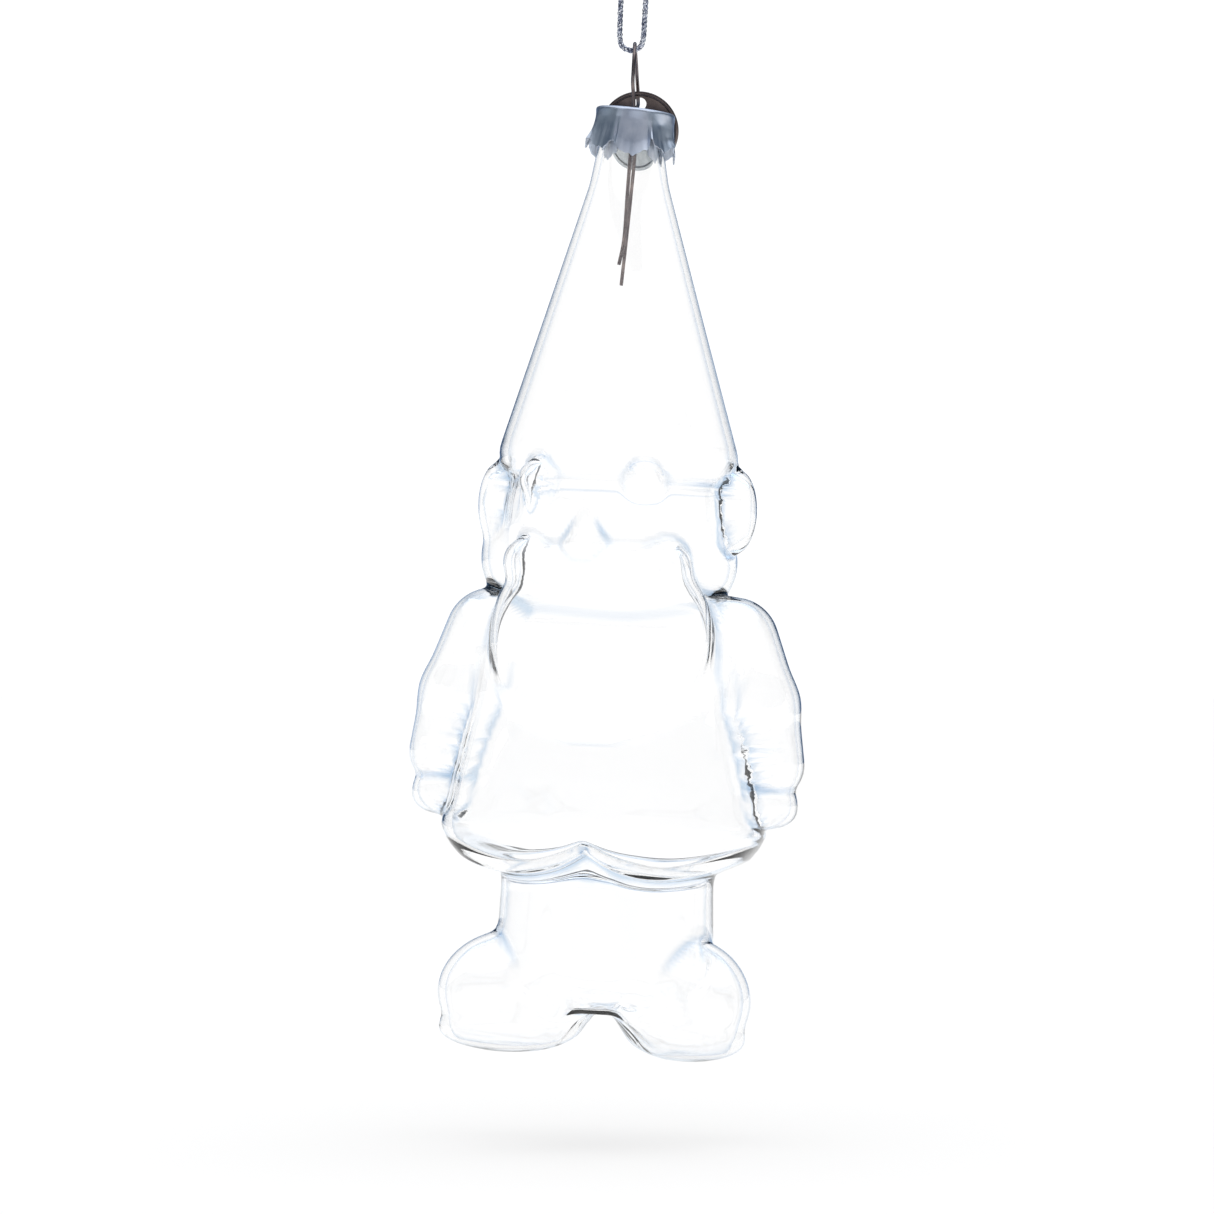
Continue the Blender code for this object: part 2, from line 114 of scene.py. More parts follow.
# The wire's route as (right, back, up) from the top of its eye: up the front leg, over the
# eye, behind the disc's upper rim, forward through its hole and down the rear leg.
WIRE_ROUTE = MM * np.array(
    [
        (-1.07, -3.08, -33.8),
        (-0.45, -3.10, -29.7),
        (-0.20, -3.00, -22.0),
        (0.02, -2.95, -16.5),
        (0.20, -2.92, -11.5),
        (0.18, -2.95, -9.6),
        (0.05, -3.15, -8.0),
        (-0.10, -3.45, -6.4),
        (-0.08, -3.45, -4.4),
        (-0.04, -2.95, -2.4),
        (-0.02, -1.70, -0.85),
        (0.0, 0.0, -0.275),
        (0.08, 2.0, -0.85),
        (0.30, 4.4, -2.6),
        (0.55, 6.5, -4.9),
        (0.75, 7.7, -6.6),
        (0.80, 7.75, -7.6),
        (0.85, 7.15, -8.35),
        (0.86, 6.33, -8.75),
        (0.80, 5.3, -9.12),
        (0.70, 4.3, -9.38),
        (0.72, 3.5, -9.70),
        (0.74, 3.10, -10.3),
        (0.75, 3.00, -11.2),
        (0.68, 2.95, -16.5),
        (0.25, 3.05, -24.0),
        (-0.22, 3.10, -31.0),
        (-0.62, 3.12, -36.5),
    ]
)

WIRE_STEP = 0.16 * MM
WIRE_TIP = 0.12  # length of the rounding at its ends, of its diameter

# The crown cap, as it sits on the neck.
CAP_DROP = 10.3 * MM  # from the top of the wire's eye to the cap's top face
CAP_RADIUS = 6.0 * MM
CAP_SHOULDER = 0.5 * MM
CAP_SHEET = 0.22 * MM
CAP_PANELS = 8
CAP_SHIFT = 0.55 * MM
CAP_TILT = math.radians(4.5)
LEG_HOLE = 1.3 * MM
PANEL_COLUMNS = 24
PLEAT_WIDTH = 0.08  # of half a panel
PETAL_DEPTH = 1.5 * MM  # from a petal's tip to its corners
PETAL_UNEVENNESS = 0.75 * MM
PETAL_FLARE = 0.55 * MM
# Dents: (bearing, share of the height, depth, square of the width, square of the height).
DENTS = ((0.75, 0.32, 0.13 * MM, 0.01, 0.008), (1.02, 0.6, 0.16 * MM, 0.012, 0.01))

# The disc, as it hangs by its upper hole.
DISC_HOLE_PLACE = MM * np.array([1.15, 6.33, -8.65])  # from the top of the wire's eye
DISC_LEAN = math.atan2(1.11, 8.35)
DISC_HOLE_INSET = 1.9 * MM
DISC_HALF = 0.2 * MM  # half the sheet's thickness
DISC_DOME = 0.05 * MM
DISC_RIM = 0.16 * MM
RIM_MIDDLE = 0.945  # of the radius
RIM_HALF_WIDTH = 0.055
PAINTED_PALE_FROM = 14 * MM  # below the wire's top, where the painted pale light on the disc's lower half starts
PAINTED_PALE_TO = 16 * MM

# The gnome is drawn 60 wide, 42 deep and 140.5 tall; heights are depths below the neck's lip.
DRAWN_TALL = 140.5 * MM
GLASS_TURN = math.radians(-11.0)
HAT = MM * np.array(
    [
        (-5.0, 4.9, 4.9),
        (4.5, 4.9, 4.9),
        (7.0, 5.35, 5.35),
        (10.2, 5.9, 5.9),
        (15.9, 7.6, 7.4),
        (30.9, 12.1, 11.3),
        (50.6, 18.1, 15.5),
        (52.8, 17.7, 15.4),
        (55.0, 15.6, 14.6),
    ]
)
JACKET = MM * np.array(
    [
        (69.0, 13.0, 10.0),
        (73.0, 17.0, 12.5),
        (77.0, 19.2, 14.0),
        (81.0, 20.3, 15.0),
        (91.0, 21.4, 16.2),
        (99.0, 22.6, 17.2),
        (106.0, 24.0, 17.8),
        (110.5, 24.3, 17.6),
        (113.2, 23.4, 16.8),
        (114.6, 21.6, 15.2),
    ]
)
TROUSERS = MM * np.array(
    [
        (106.0, 15.0, 11.4),
        (117.0, 15.2, 11.6),
        (126.0, 16.0, 12.2),
        (131.0, 14.5, 11.0),
        (134.2, 9.0, 7.0),
    ]
)
# Round forms: (centre, radii, turn about the vertical in degrees, mirrored).
ROUND_FORMS = {
    "head": ((0, -0.5, 60.4), (16.6, 15.8, 16.4), 0, False),
    "hair": ((0, 3.0, 66.5), (19.5, 13.5, 12.5), 0, False),
    "ear": ((18.3, 0.5, 58.6), (2.9, 4.6, 6.3), 0, True),
    "cheek": ((10.4, -12.6, 67.4), (3.9, 4.7, 3.9), 0, True),
    "beard": ((0.6, -10.9, 78.6), (16.9, 10.8, 16.6), 0, False),
    "hand": ((24.5, -0.8, 102.6), (4.9, 6.2, 4.9), 0, True),
    "boot": ((12.2, -3.4, 131.4), (8.2, 13.2, 8.9), 50, True),
    "sole": ((13.4, -4.2, 136.8), (6.4, 11.6, 3.7), 50, True),
}
# Limbs: (upper centre, upper radius, lower centre, lower radius), mirrored.
LIMBS = {
    "brow": ((8.2, -13.7, 54.8), 2.6, (7.4, -8.6, 63.0), 1.6),
    "nose": ((0, -15.0, 60.9), 0.9, (0, -15.2, 64.4), 2.7),
    "upper arm": ((18.4, 0.5, 78.2), 6.9, (22.5, 0, 87.5), 6.3),
    "forearm": ((22.5, 0, 87.5), 6.3, (25.1, -0.5, 96.2), 5.0),
    "leg": ((7.6, -1.0, 110.0), 8.0, (7.8, -1.0, 128.0), 8.3),
}
LIMB_FLATNESS = 0.72
FACE_SHIFT = -1.4 * MM  # of the hair, brows and nose
FEET_SHIFT = 1.0 * MM  # of the trousers and boots
JACKET_SQUARENESS = 2.6
CLEFT_LIFT = 4.9 * MM
CLEFT_WIDTH = 5.0 * MM
SIDE_LIFT = 5.0 * MM
FAN_CENTRE = MM * np.array([0.0, -2.5, 129.0])
GLASS_COLUMNS = 200
OUTER_ROWS = 250
INNER_ROWS = 232
LONGEST_RAY = 36 * MM
RAY_STEPS = 61
HALVINGS = 14
CREASE_SHADE_FROM = 200  # bend, per metre, at which painted shade starts to show in a crease
CREASE_SHADE_SPAN = 500

# The stage. The view's middle is left of and below the wire's eye, by shares of the field.
VIEW_LEFT = 0.02306
VIEW_BELOW = 0.46540
FLOOR_MIDDLE = 2.8 * MM
SWEEP_LIGHT = 1.08  # of the world, to the camera and through the glass
FLOOR_LIGHT = 0.62  # of the world, on matt surfaces
SUN_LIGHT = 1.55
SUN_WIDTH = math.radians(100)


def linear(hex_colour):
    """An sRGB hex colour as linear red, green, blue and alpha."""
    srgb = np.array([int(hex_colour[i : i + 2], 16) for i in (0, 2, 4)]) / 255
    value = np.where(srgb <= 0.04045, srgb / 12.92, ((srgb + 0.055) / 1.055) ** 2.4)
    return (*value.tolist(), 1.0)


WHITE = linear("ffffff")


# ---------------------------------------------------------------- settings


def length_setting(name, description, default):
    """A setting in metres."""
    return FloatProperty(name=name, description=description, default=default, unit="LENGTH")


def colour_setting(name, description, hex_colour):
    """A setting that starts as an sRGB hex colour."""
    default = linear(hex_colour)
    return FloatVectorProperty(
        name=name, description=description, default=default, size=4, subtype="COLOR"
    )


class CordSettings(bpy.types.PropertyGroup):
    """Sizes and colours of the tinsel cord"""

    diameter: length_setting("Cord diameter", "Across the twist", 0.75 * MM)
    pitch: length_setting("Twist pitch", "Length of one whole turn of the plies", 2.1 * MM)
    foil: colour_setting("Foil", "Colour of the metallised film", "c9cdd8")


class WireSettings(bpy.types.PropertyGroup):
    """Sizes and colours of the hanger"""

    diameter: length_setting("Wire diameter", "Of the spring wire", 0.55 * MM)
    steel: colour_setting("Wire steel", "Colour of the browned wire", "a3958f")


class CapSettings(bpy.types.PropertyGroup):
    """Sizes and colours of the crown cap"""

    height: length_setting("Cap height", "Top face to petal tips", 6.7 * MM)
    flare: length_setting("Flare", "How far the skirt spreads", 0.95 * MM)
    pleat: length_setting("Pleat depth", "Depth of each crimp", 0.42 * MM)
    lacquer: colour_setting("Lacquer", "Colour of the silver lacquer", "c3cad6")


class DiscSettings(bpy.types.PropertyGroup):
    """Sizes and colours of the pierced disc"""

    diameter: length_setting("Disc diameter", "Over the rim", 12.0 * MM)
    hole: length_setting("Hole diameter", "Of the hole that it hangs by", 1.9 * MM)
    steel: colour_setting("Disc steel", "Colour of the dark plating", "6e6461")


class GlassSettings(bpy.types.PropertyGroup):
    """Sizes and colours of the blown glass"""

    wall: length_setting("Wall", "Thickness of the glass", 0.9 * MM)
    blend: length_setting("Blend", "How softly the mould's forms run together", 1.3 * MM)
    # The edge tint is also the colour of the painted shade in the glass's creases.
    edge: colour_setting("Edge tint", "Colour of the glass seen along its wall", "a3bdd9")


class StageSettings(bpy.types.PropertyGroup):
    """Camera distance, floor and paper"""

    distance: length_setting("Camera distance", "To the ornament", 0.8)
    field: length_setting("Field width", "Seen at the ornament", 0.1821)
    lean: FloatProperty(
        name="Lean",
        description="How far the ornament leans in the view",
        default=math.radians(2.27),
        subtype="ANGLE",
    )
    floor: length_setting("Floor height", "In the ornament's frame", -0.1848)
    paper: colour_setting("Paper", "Colour of the floor", "f6f6f6")


# ---------------------------------------------------------------- surfaces and materials


def set_inputs(node, inputs):
    """Gives a node's inputs their values, or links where a value is another node's output."""
    for socket, value in inputs.items():
        if isinstance(value, bpy.types.NodeSocket):
            node.id_data.links.new(value, node.inputs[socket])
        else:
            node.inputs[socket].default_value = value


def add_node(tree, kind, inputs=(), **settings):
    """Adds a shader node with its own settings and its inputs' values or links."""
    made = tree.nodes.new("ShaderNode" + kind)
    for key, value in settings.items():
        setattr(made, key, value)
    set_inputs(made, dict(inputs))
    return made


def noise(tree, vector, scale, detail, distortion=0.0):
    """Fractal noise, about 0.5."""
    inputs = {"Vector": vector, "Scale": scale, "Detail": detail, "Distortion": distortion}
    return add_node(tree, "TexNoise", inputs).outputs["Fac"]


def ramp(tree, value, stops):
    """The colour that (place, colour) stops give a value. The ramp's own two stops come first."""
    made = add_node(tree, "ValToRGB", {"Fac": value})
    elements = made.color_ramp.elements
    for index, (place, colour) in enumerate(stops):
        stop = elements[index] if index < 2 else elements.new(place)
        stop.position = place
        stop.color = colour
    return made.outputs["Color"]


def mapped(tree, value, low, high, to_low, to_high, **settings):
    """A value brought from between low and high to between to_low and to_high."""
    inputs = {"Value": value, "From Min": low, "From Max": high}
    inputs.update({"To Min": to_low, "To Max": to_high})
    return add_node(tree, "MapRange", inputs, **settings).outputs["Result"]


def calculate(tree, operation, *values, **settings):
    """The result of a sum on one or two values."""
    inputs = dict(enumerate(values))
    return add_node(tree, "Math", inputs, operation=operation, **settings).outputs["Value"]


def mixed(tree, factor, first, second, **settings):
    """Two colours mixed, or multiplied where the settings say so."""
    inputs = {"Factor": factor, 6: first, 7: second}
    return add_node(tree, "Mix", inputs, data_type="RGBA", **settings).outputs[2]


def bumped(tree, height, strength, distance):
    """The normal of a surface whose height varies by a distance in metres."""
    inputs = {"Height": height, "Strength": strength, "Distance": distance}
    return add_node(tree, "Bump", inputs).outputs["Normal"]


def new_material(name):
    """A new material with its tree and Principled shader."""
    made = bpy.data.materials.new(name)
    made.use_nodes = True
    return made, made.node_tree, made.node_tree.nodes["Principled BSDF"]


def smooth_route(route, step):
    """Points about step apart on a Catmull-Rom curve: each span is the cubic through its two
    points whose slope at each is half the line from the point before it to the point after."""
    padded = np.concatenate([[2 * route[0] - route[1]], route, [2 * route[-1] - route[-2]]])
    spans = np.linalg.norm(np.diff(route, axis=0), axis=1)
    count = max(2, round(float(spans.sum()) / step))
    at = np.linspace(0, len(route) - 1, count)
    span = np.minimum(at.astype(int), len(route) - 2)
    t = (at - span)[:, None]
    p0, p1, p2, p3 = (padded[span + i] for i in range(4))
    curve = 0.5 * (
        2 * p1
        + (p2 - p0) * t
        + (2 * p0 - 5 * p1 + 4 * p2 - p3) * t**2
        + (3 * p1 - p0 - 3 * p2 + p3) * t**3
    )
    along = run_lengths(curve)
    even = np.linspace(0, along[-1], count)
    return np.stack([np.interp(even, along, axis) for axis in curve.T], axis=-1)


def run_lengths(path):
    """Distance along the path at each of its points."""
    return np.concatenate([[0], np.cumsum(np.linalg.norm(np.diff(path, axis=0), axis=1))])


def carried_frame(path, side):
    """Tangent, side and third direction at each point of a path: the side is carried along
    the path, and at each step loses what part of it lies along the new tangent."""
    tangent = np.gradient(path, axis=0)
    tangent /= np.linalg.norm(tangent, axis=1, keepdims=True)
    sides = [np.array(side, float)]
    for heading in tangent:
        across = sides[-1] - heading * (sides[-1] @ heading)
        sides.append(across / np.linalg.norm(across))
    sides = np.array(sides[1:])
    return tangent, sides, np.cross(tangent, sides)


def tube_rings(path, side, radius, columns):
    """Rings round a path: centre + radius (side cos a - third sin a), a from 0 to a full turn.
    The radius is one number, one for each ring or one for each point."""
    _, side, third = carried_frame(path, side)
    angle = np.arange(columns) / columns * TURN
    spread = side[:, None] * np.cos(angle)[:, None] - third[:, None] * np.sin(angle)[:, None]
    if np.ndim(radius) < 2:
        radius = np.asarray(radius, float).reshape(-1, 1)
    return path[:, None] + spread * np.broadcast_to(radius, (len(path), columns))[..., None]


def surface(name, sheets, material):
    """A mesh of closed-round grids. Each sheet is (rings, first pole, last pole): quads join
    each ring to the next, and a fan closes an end that has a pole. Its UV map holds metres
    along the rings and round them."""
    points, quads, fans, quad_uv, fan_uv = [], [], [], [], []
    base = 0
    for rings, first, last in sheets:
        rows, columns = rings.shape[:2]
        index = base + np.arange(rows * columns).reshape(rows, columns)
        right = np.roll(index, -1, axis=1)
        quads.append(np.stack([index[:-1], index[1:], right[1:], right[:-1]], -1).reshape(-1, 4))
        points.append(rings.reshape(-1, 3))
        base += rows * columns
        middle = rings.mean(axis=1)
        along = run_lengths(middle)
        girth = np.linalg.norm(rings - np.roll(rings, 1, axis=1), axis=-1).sum(axis=1).mean()
        u0, u1 = along[:-1, None], along[1:, None]
        v0 = np.arange(columns)[None, :] / columns * girth
        v1 = v0 + girth / columns
        shape = (rows - 1, columns)
        corner = [np.broadcast_to(u, shape) for u in (u0, u1, u1, u0)]
        around = [np.broadcast_to(v, shape) for v in (v0, v0, v1, v1)]
        quad_uv.append(np.stack([np.stack(corner, -1), np.stack(around, -1)], -1).reshape(-1, 2))
        for pole, row, flip, u in ((first, 0, False, along[0]), (last, -1, True, along[-1])):
            if pole is None:
                continue
            points.append(np.asarray(pole, float).reshape(1, 3))
            here, there = (right[row], index[row]) if flip else (index[row], right[row])
            fans.append(np.stack([np.full(columns, base), here, there], -1))
            fan_uv.append(np.stack([np.full(columns * 3, u), np.repeat(v0[0], 3)], -1))
            base += 1
    data = bpy.data.meshes.new(name)
    points = np.concatenate(points)
    quads = np.concatenate(quads)
    fans = np.concatenate(fans) if fans else np.zeros((0, 3), int)
    data.vertices.add(len(points))
    data.vertices.foreach_set("co", points.astype(np.float32).ravel())
    data.loops.add(quads.size + fans.size)
    data.loops.foreach_set("vertex_index", np.concatenate([quads.ravel(), fans.ravel()]))
    data.polygons.add(len(quads) + len(fans))
    starts = np.concatenate([np.arange(len(quads)) * 4, quads.size + np.arange(len(fans)) * 3])
    data.polygons.foreach_set("loop_start", starts)
    uv = np.concatenate(quad_uv + fan_uv).astype(np.float32)
    data.uv_layers.new(name="run").data.foreach_set("uv", uv.ravel())
    data.update(calc_edges=True)
    data.validate()
    data.shade_smooth()
    data.materials.append(material)
    made = bpy.data.objects.new(name, data)
    bpy.context.scene.collection.objects.link(made)
    return made


def add_attribute(piece, name, values):
    """Stores one number for each of a piece's points."""
    attribute = piece.data.attributes.new(name, "FLOAT", "POINT")
    attribute.data.foreach_set("value", np.asarray(values, np.float32).ravel())


def rod(name, place, direction, diameter, length):
    """A plain rod across a place, to cut a hole with."""
    path = place + np.outer(np.linspace(-0.5, 0.5, 2) * length, direction)
    rings = tube_rings(path, np.cross(direction, (0.31, 0.2, 0.7)), diameter / 2, 48)
    material = bpy.data.materials.new(name)
    return surface(name, [(rings, path[0], path[1])], material)


def cut_holes(piece, rods):
    """Cuts the rods out of a piece, keeps the result as its mesh and removes the rods."""
    for cutter in rods:
        hole = piece.modifiers.new("Hole", "BOOLEAN")
        hole.object = cutter
        hole.operation = "DIFFERENCE"
        hole.solver = "EXACT"
        hole.material_mode = "INDEX"
    graph = bpy.context.evaluated_depsgraph_get()
    cut = bpy.data.meshes.new_from_object(piece.evaluated_get(graph))
    piece.modifiers.clear()
    whole = piece.data
    piece.data = cut
    bpy.data.meshes.remove(whole)
    for cutter in rods:
        bpy.data.objects.remove(cutter)


# ---------------------------------------------------------------- cord and knot


def foil_film(settings):
    """Metallised polyester film, slit and twisted: a mirror broken into tiny creased facets. Its
    colour is painted in flecks, white beside nearly black: painted glints and painted dark
    reflections of the facets."""
    material, tree, shader = new_material("metallised_tinsel_film")
    run = add_node(tree, "UVMap", uv_map="run").outputs["UV"]
    # Creases 0.23 mm apart, as coarse as they need to be to show.
    inputs = {"Vector": run, "Scale": 4300.0, "Randomness": 1.0}
    facets_and_painted_glints = add_node(tree, "TexVoronoi", inputs, feature="F1").outputs
    # Painted reflections: each cell's colour runs from nearly black to white, as glints and dark
    # facets.
    stops = [(0.0, linear("1d212b")), (1.0, WHITE), (0.35, linear("5f667c"))]
    tone = ramp(tree, facets_and_painted_glints["Color"], stops + [(0.62, tuple(settings.foil))])
    bump = bumped(tree, facets_and_painted_glints["Distance"], 0.9, 0.08 * MM)
    set_inputs(shader, {"Base Color": tone, "Normal": bump, "Metallic": 0.9, "Roughness": 0.24})
    return material


def twisted_plies(path, side, diameter, pitch, plies=3, columns=10):
    """Plies laid round a path: each ply's middle is path + q (side cos b + third sin b), where
    b grows by a full turn in each pitch and starts at the ply's own share of a turn. Its radius
    swells and shrinks where the film is lapped round it."""
    tangent, across, third = carried_frame(path, side)
    run = run_lengths(path)
    lay = PLY_LAY * diameter
    sheets = []
    for ply in range(plies):
        turn = run / pitch * TURN + ply / plies * TURN
        middle = path + lay * (across * np.cos(turn)[:, None] + third * np.sin(turn)[:, None])
        round_ply = np.arange(columns) / columns * TURN
        lap = run[:, None] / (LAP_LENGTH * pitch) * TURN - round_ply + ply
        swell = 1 + 0.1 * np.sin(lap) + 0.05 * np.sin(2.7 * lap + ply)
        radius = PLY_RADIUS * diameter * swell
        rings = tube_rings(middle, side, radius, columns)
        ends = middle[0] - tangent[0] * lay / 2, middle[-1] + tangent[-1] * lay / 2
        sheets.append((rings, *ends))
    return sheets


class OBJECT_OT_ornament_cord(bpy.types.Operator):
    """Build the tinsel cord loop and its knot"""

    bl_idname = "object.ornament_cord"
    bl_label = "Cord Loop and Knot"

    def execute(self, context):
        settings = context.scene.ornament_cord
        film = foil_film(settings)
        flat = smooth_route(CORD_ROUTE, CORD_STEP)
        path = np.stack([flat[:, 0], 0 * flat[:, 0], EYE_TOP + flat[:, 1]], -1)
        plies = twisted_plies(path, (0, 1, 0), settings.diameter, settings.pitch)
        cord = surface("tinsel_cord", plies, film)
        knot = surface("tinsel_knot", knot_plies(path, settings), film)
        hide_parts("hanging_cord")
        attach(cord, "cord")
        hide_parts("cord_knot")
        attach(knot, "knot")
        return {"FINISHED"}


def knot_plies(path, settings):
    """An overhand knot of both ends together: a line that comes up from the loop, winds twice
    about the vertical on a ring (radius a + b cos 3t, height b sin 3t, as a trefoil does) and
    leaves at the top. Each end is that line moved sideways by half its neighbour's width."""
    t = np.linspace(0.08, 0.92, 160)
    wind = TURN / 6 + TURN * t
    ring = KNOT_RADIUS + KNOT_SWELL * np.cos(3 * wind)
    turns = np.stack(
        [ring * np.cos(2 * wind), ring * np.sin(2 * wind), KNOT_RISE * np.sin(3 * wind)], -1
    )
    turns += (0, 0, -KNOT_DEPTH)
    start = (path[0] + path[-1]) / 2
    top = MM * np.array([(0.9, 0.3, 2.6), (0.5, 0.2, 1.0), (0.15, 0.1, -0.6)])
    bottom = [start + (0, 0, 0.5 * MM), start]
    line = smooth_route(np.concatenate([top, turns[::5], bottom]), CORD_STEP)[::-1]
    _, side, _ = carried_frame(line, (1, 0, 0))
    share = np.linspace(0, 1, len(line))
    half_start = abs(path[0, 0] - path[-1, 0]) / 2
    gaps = [half_start, ENDS_APART, ENDS_APART, ENDS_SPREAD]
    apart = np.interp(share, [0, 0.09, 0.86, 1], gaps)
    sheets = []
    for way in (-1, 1):
        end = line + side * (way * apart)[:, None]
        diameter = PULLED_TIGHT * settings.diameter
        sheets += twisted_plies(end, (0, 1, 0), diameter, settings.pitch)
    return sheets


# ---------------------------------------------------------------- hanger wire


def browned_wire(settings):
    """Hard-drawn spring wire, oil-browned: a dark metal with fine die lines along it, paler and
    darker in random patches."""
    material, tree, shader = new_material("browned_spring_wire")
    run = add_node(tree, "UVMap", uv_map="run").outputs["UV"]
    # Die lines 0.05 mm apart and many millimetres long.
    stretch = add_node(tree, "Mapping", {"Vector": run, "Scale": (120.0, 16000.0, 1.0)})
    lines = noise(tree, stretch.outputs["Vector"], 1.0, 3.0)
    stained = calculate(tree, "MULTIPLY", lines, noise(tree, run, 420.0, 4.0))
    stops = [(0.1, linear("463f40")), (0.42, tuple(settings.steel)), (0.26, linear("6d6464"))]
    tone = ramp(tree, stained, stops)
    bump = bumped(tree, lines, 0.35, 0.02 * MM)
    set_inputs(shader, {"Base Color": tone, "Normal": bump, "Metallic": 1.0, "Roughness": 0.26})
    return material


def wire_path():
    """The wire's middle line, from its front leg's end to its rear leg's end."""
    return smooth_route(WIRE_ROUTE, WIRE_STEP) + (0, 0, EYE_TOP)


class OBJECT_OT_ornament_wire(bpy.types.Operator):
    """Build the hairpin hanger wire"""

    bl_idname = "object.ornament_wire"
    bl_label = "Hanger Wire"

    def execute(self, context):
        settings = context.scene.ornament_wire
        path = wire_path()
        run = run_lengths(path)
        from_end = np.minimum(run, run[-1] - run) / (WIRE_TIP * settings.diameter)
        radius = settings.diameter / 2 * np.where(from_end < 1, 0.86 + 0.14 * from_end, 1)
        rings = tube_rings(path, (1, 0, 0), radius, 28)
        wire = surface("hairpin_wire", [(rings, path[0], path[-1])], browned_wire(settings))
        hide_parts("hanger_wire")
        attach(wire, "hanger")
        return {"FINISHED"}


# ---------------------------------------------------------------- crown cap


def silver_lacquer(settings):
    """Crimped aluminium under a silver lacquer: a satin metal whose folds catch thin bright
    lines, with fine pressing marks and a few dents."""
    material, tree, shader = new_material("silver_lacquered_aluminium")
    place = add_node(tree, "TexCoord").outputs["Object"]
    mottle = noise(tree, place, 420.0, 5.0)
    tone = ramp(tree, mottle, [(0.35, linear("b9c3d2")), (0.65, tuple(settings.lacquer))])
    rough = mapped(tree, mottle, 0.3, 0.7, 0.3, 0.4)
    # Pressing marks 0.4 mm apart.
    bump = bumped(tree, noise(tree, place, 2600.0, 2.0), 0.12, 0.05 * MM)
    set_inputs(shader, {"Base Color": tone, "Roughness": rough, "Normal": bump, "Metallic": 1.0})
    return material


def cap_rings(settings, thick):
    """The cap as rings from its middle out and down. A ring's radius is r(f) of a flat-sided
    eight-panel outline, less a narrow groove at each pleat, and its lower edge hangs lowest at
    each panel's middle. The skirt spreads with the square of the way down. The rings lie a
    thickness inside the cap's outer face."""
    columns = CAP_PANELS * PANEL_COLUMNS
    turn = (np.arange(columns) + 0.5) / columns * CAP_PANELS
    across = (turn % 1 - 0.5) * 2
    panel = turn.astype(int)
    angle = (turn - 0.5) * TURN / CAP_PANELS
    flat = math.cos(math.pi / CAP_PANELS * 0.5) / np.cos(across * math.pi / CAP_PANELS)
    plate = np.linspace(0.05, 1, 10)[:, None] * (CAP_RADIUS - CAP_SHOULDER)
    bend = np.linspace(0, math.pi / 2, 7)[1:, None]
    rounded = CAP_RADIUS - CAP_SHOULDER + (CAP_SHOULDER - thick) * np.sin(bend)
    down = np.linspace(0, 1, 30)[1:, None]
    tip = settings.height - CAP_SHOULDER
    tip = tip + PETAL_UNEVENNESS * np.sin(2.3 * panel + 2.4)
    tip = tip - PETAL_DEPTH * np.abs(across) ** 1.7
    tip = tip + 0.14 * MM * np.sin(9 * angle + 5 * across) + 0.1 * MM * np.sin(41 * angle)
    waist = 0.12 * MM * np.sin(math.pi * down) * np.cos(3 * angle + 1)
    skirt = CAP_RADIUS - thick + settings.flare * down**2 + waist
    skirt = skirt + PETAL_FLARE * np.clip(down - 0.72, 0, 1) * np.sin(2.3 * panel + 0.5)
    shoulder = thick + (CAP_SHOULDER - thick) * (1 - np.cos(bend))
    radius, drop = (
        np.concatenate([part + np.zeros(columns) for part in parts])
        for parts in (
            (plate, rounded, skirt),
            (thick + 0 * plate, shoulder, CAP_SHOULDER + tip * down),
        )
    )
    share = np.clip((drop - thick) / settings.height, 0, 1)
    shaped = 1 + (flat - 1) * np.clip(share * 4, 0, 1)
    at_pleat = np.exp(-(((1 - np.abs(across)) / PLEAT_WIDTH) ** 2))
    out = radius * shaped - settings.pleat * np.clip(share * 1.6, 0, 1) * at_pleat
    for bearing, level, depth, wide, tall in DENTS:
        out -= depth * np.exp(-((angle - bearing) ** 2 / wide + (share - level) ** 2 / tall))
    return np.stack([out * np.sin(angle), -out * np.cos(angle), -drop], -1)


class OBJECT_OT_ornament_cap(bpy.types.Operator):
    """Build the crimped crown cap"""

    bl_idname = "object.ornament_cap"
    bl_label = "Crown Cap"

    def execute(self, context):
        settings = context.scene.ornament_cap
        rings = np.concatenate([cap_rings(settings, 0.0), cap_rings(settings, CAP_SHEET)[::-1]])
        tilt = np.array(Matrix.Rotation(CAP_TILT, 3, "Y"))
        seat = np.array([CAP_SHIFT, 0, EYE_TOP - CAP_DROP])
        poles = [np.array([0, 0, height]) @ tilt.T + seat for height in (0.0, -CAP_SHEET)]
        cap = surface("crimped_cap", [(rings @ tilt.T + seat, *poles)], silver_lacquer(settings))
        path = wire_path()
        crossing = np.flatnonzero(np.diff(np.sign(path[:, 2] - seat[2])))
        rods = [
            rod(f"leg_{i}", path[place], np.array([0, 0, 1.0]), LEG_HOLE, CUT_LENGTH)
            for i, place in enumerate(crossing)
        ]
        cut_holes(cap, rods)
        cap.data.set_sharp_from_angle(angle=SHARP_EDGE)
        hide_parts("crown_cap")
        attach(cap, "hanger")
        return {"FINISHED"}


# ---------------------------------------------------------------- pierced disc


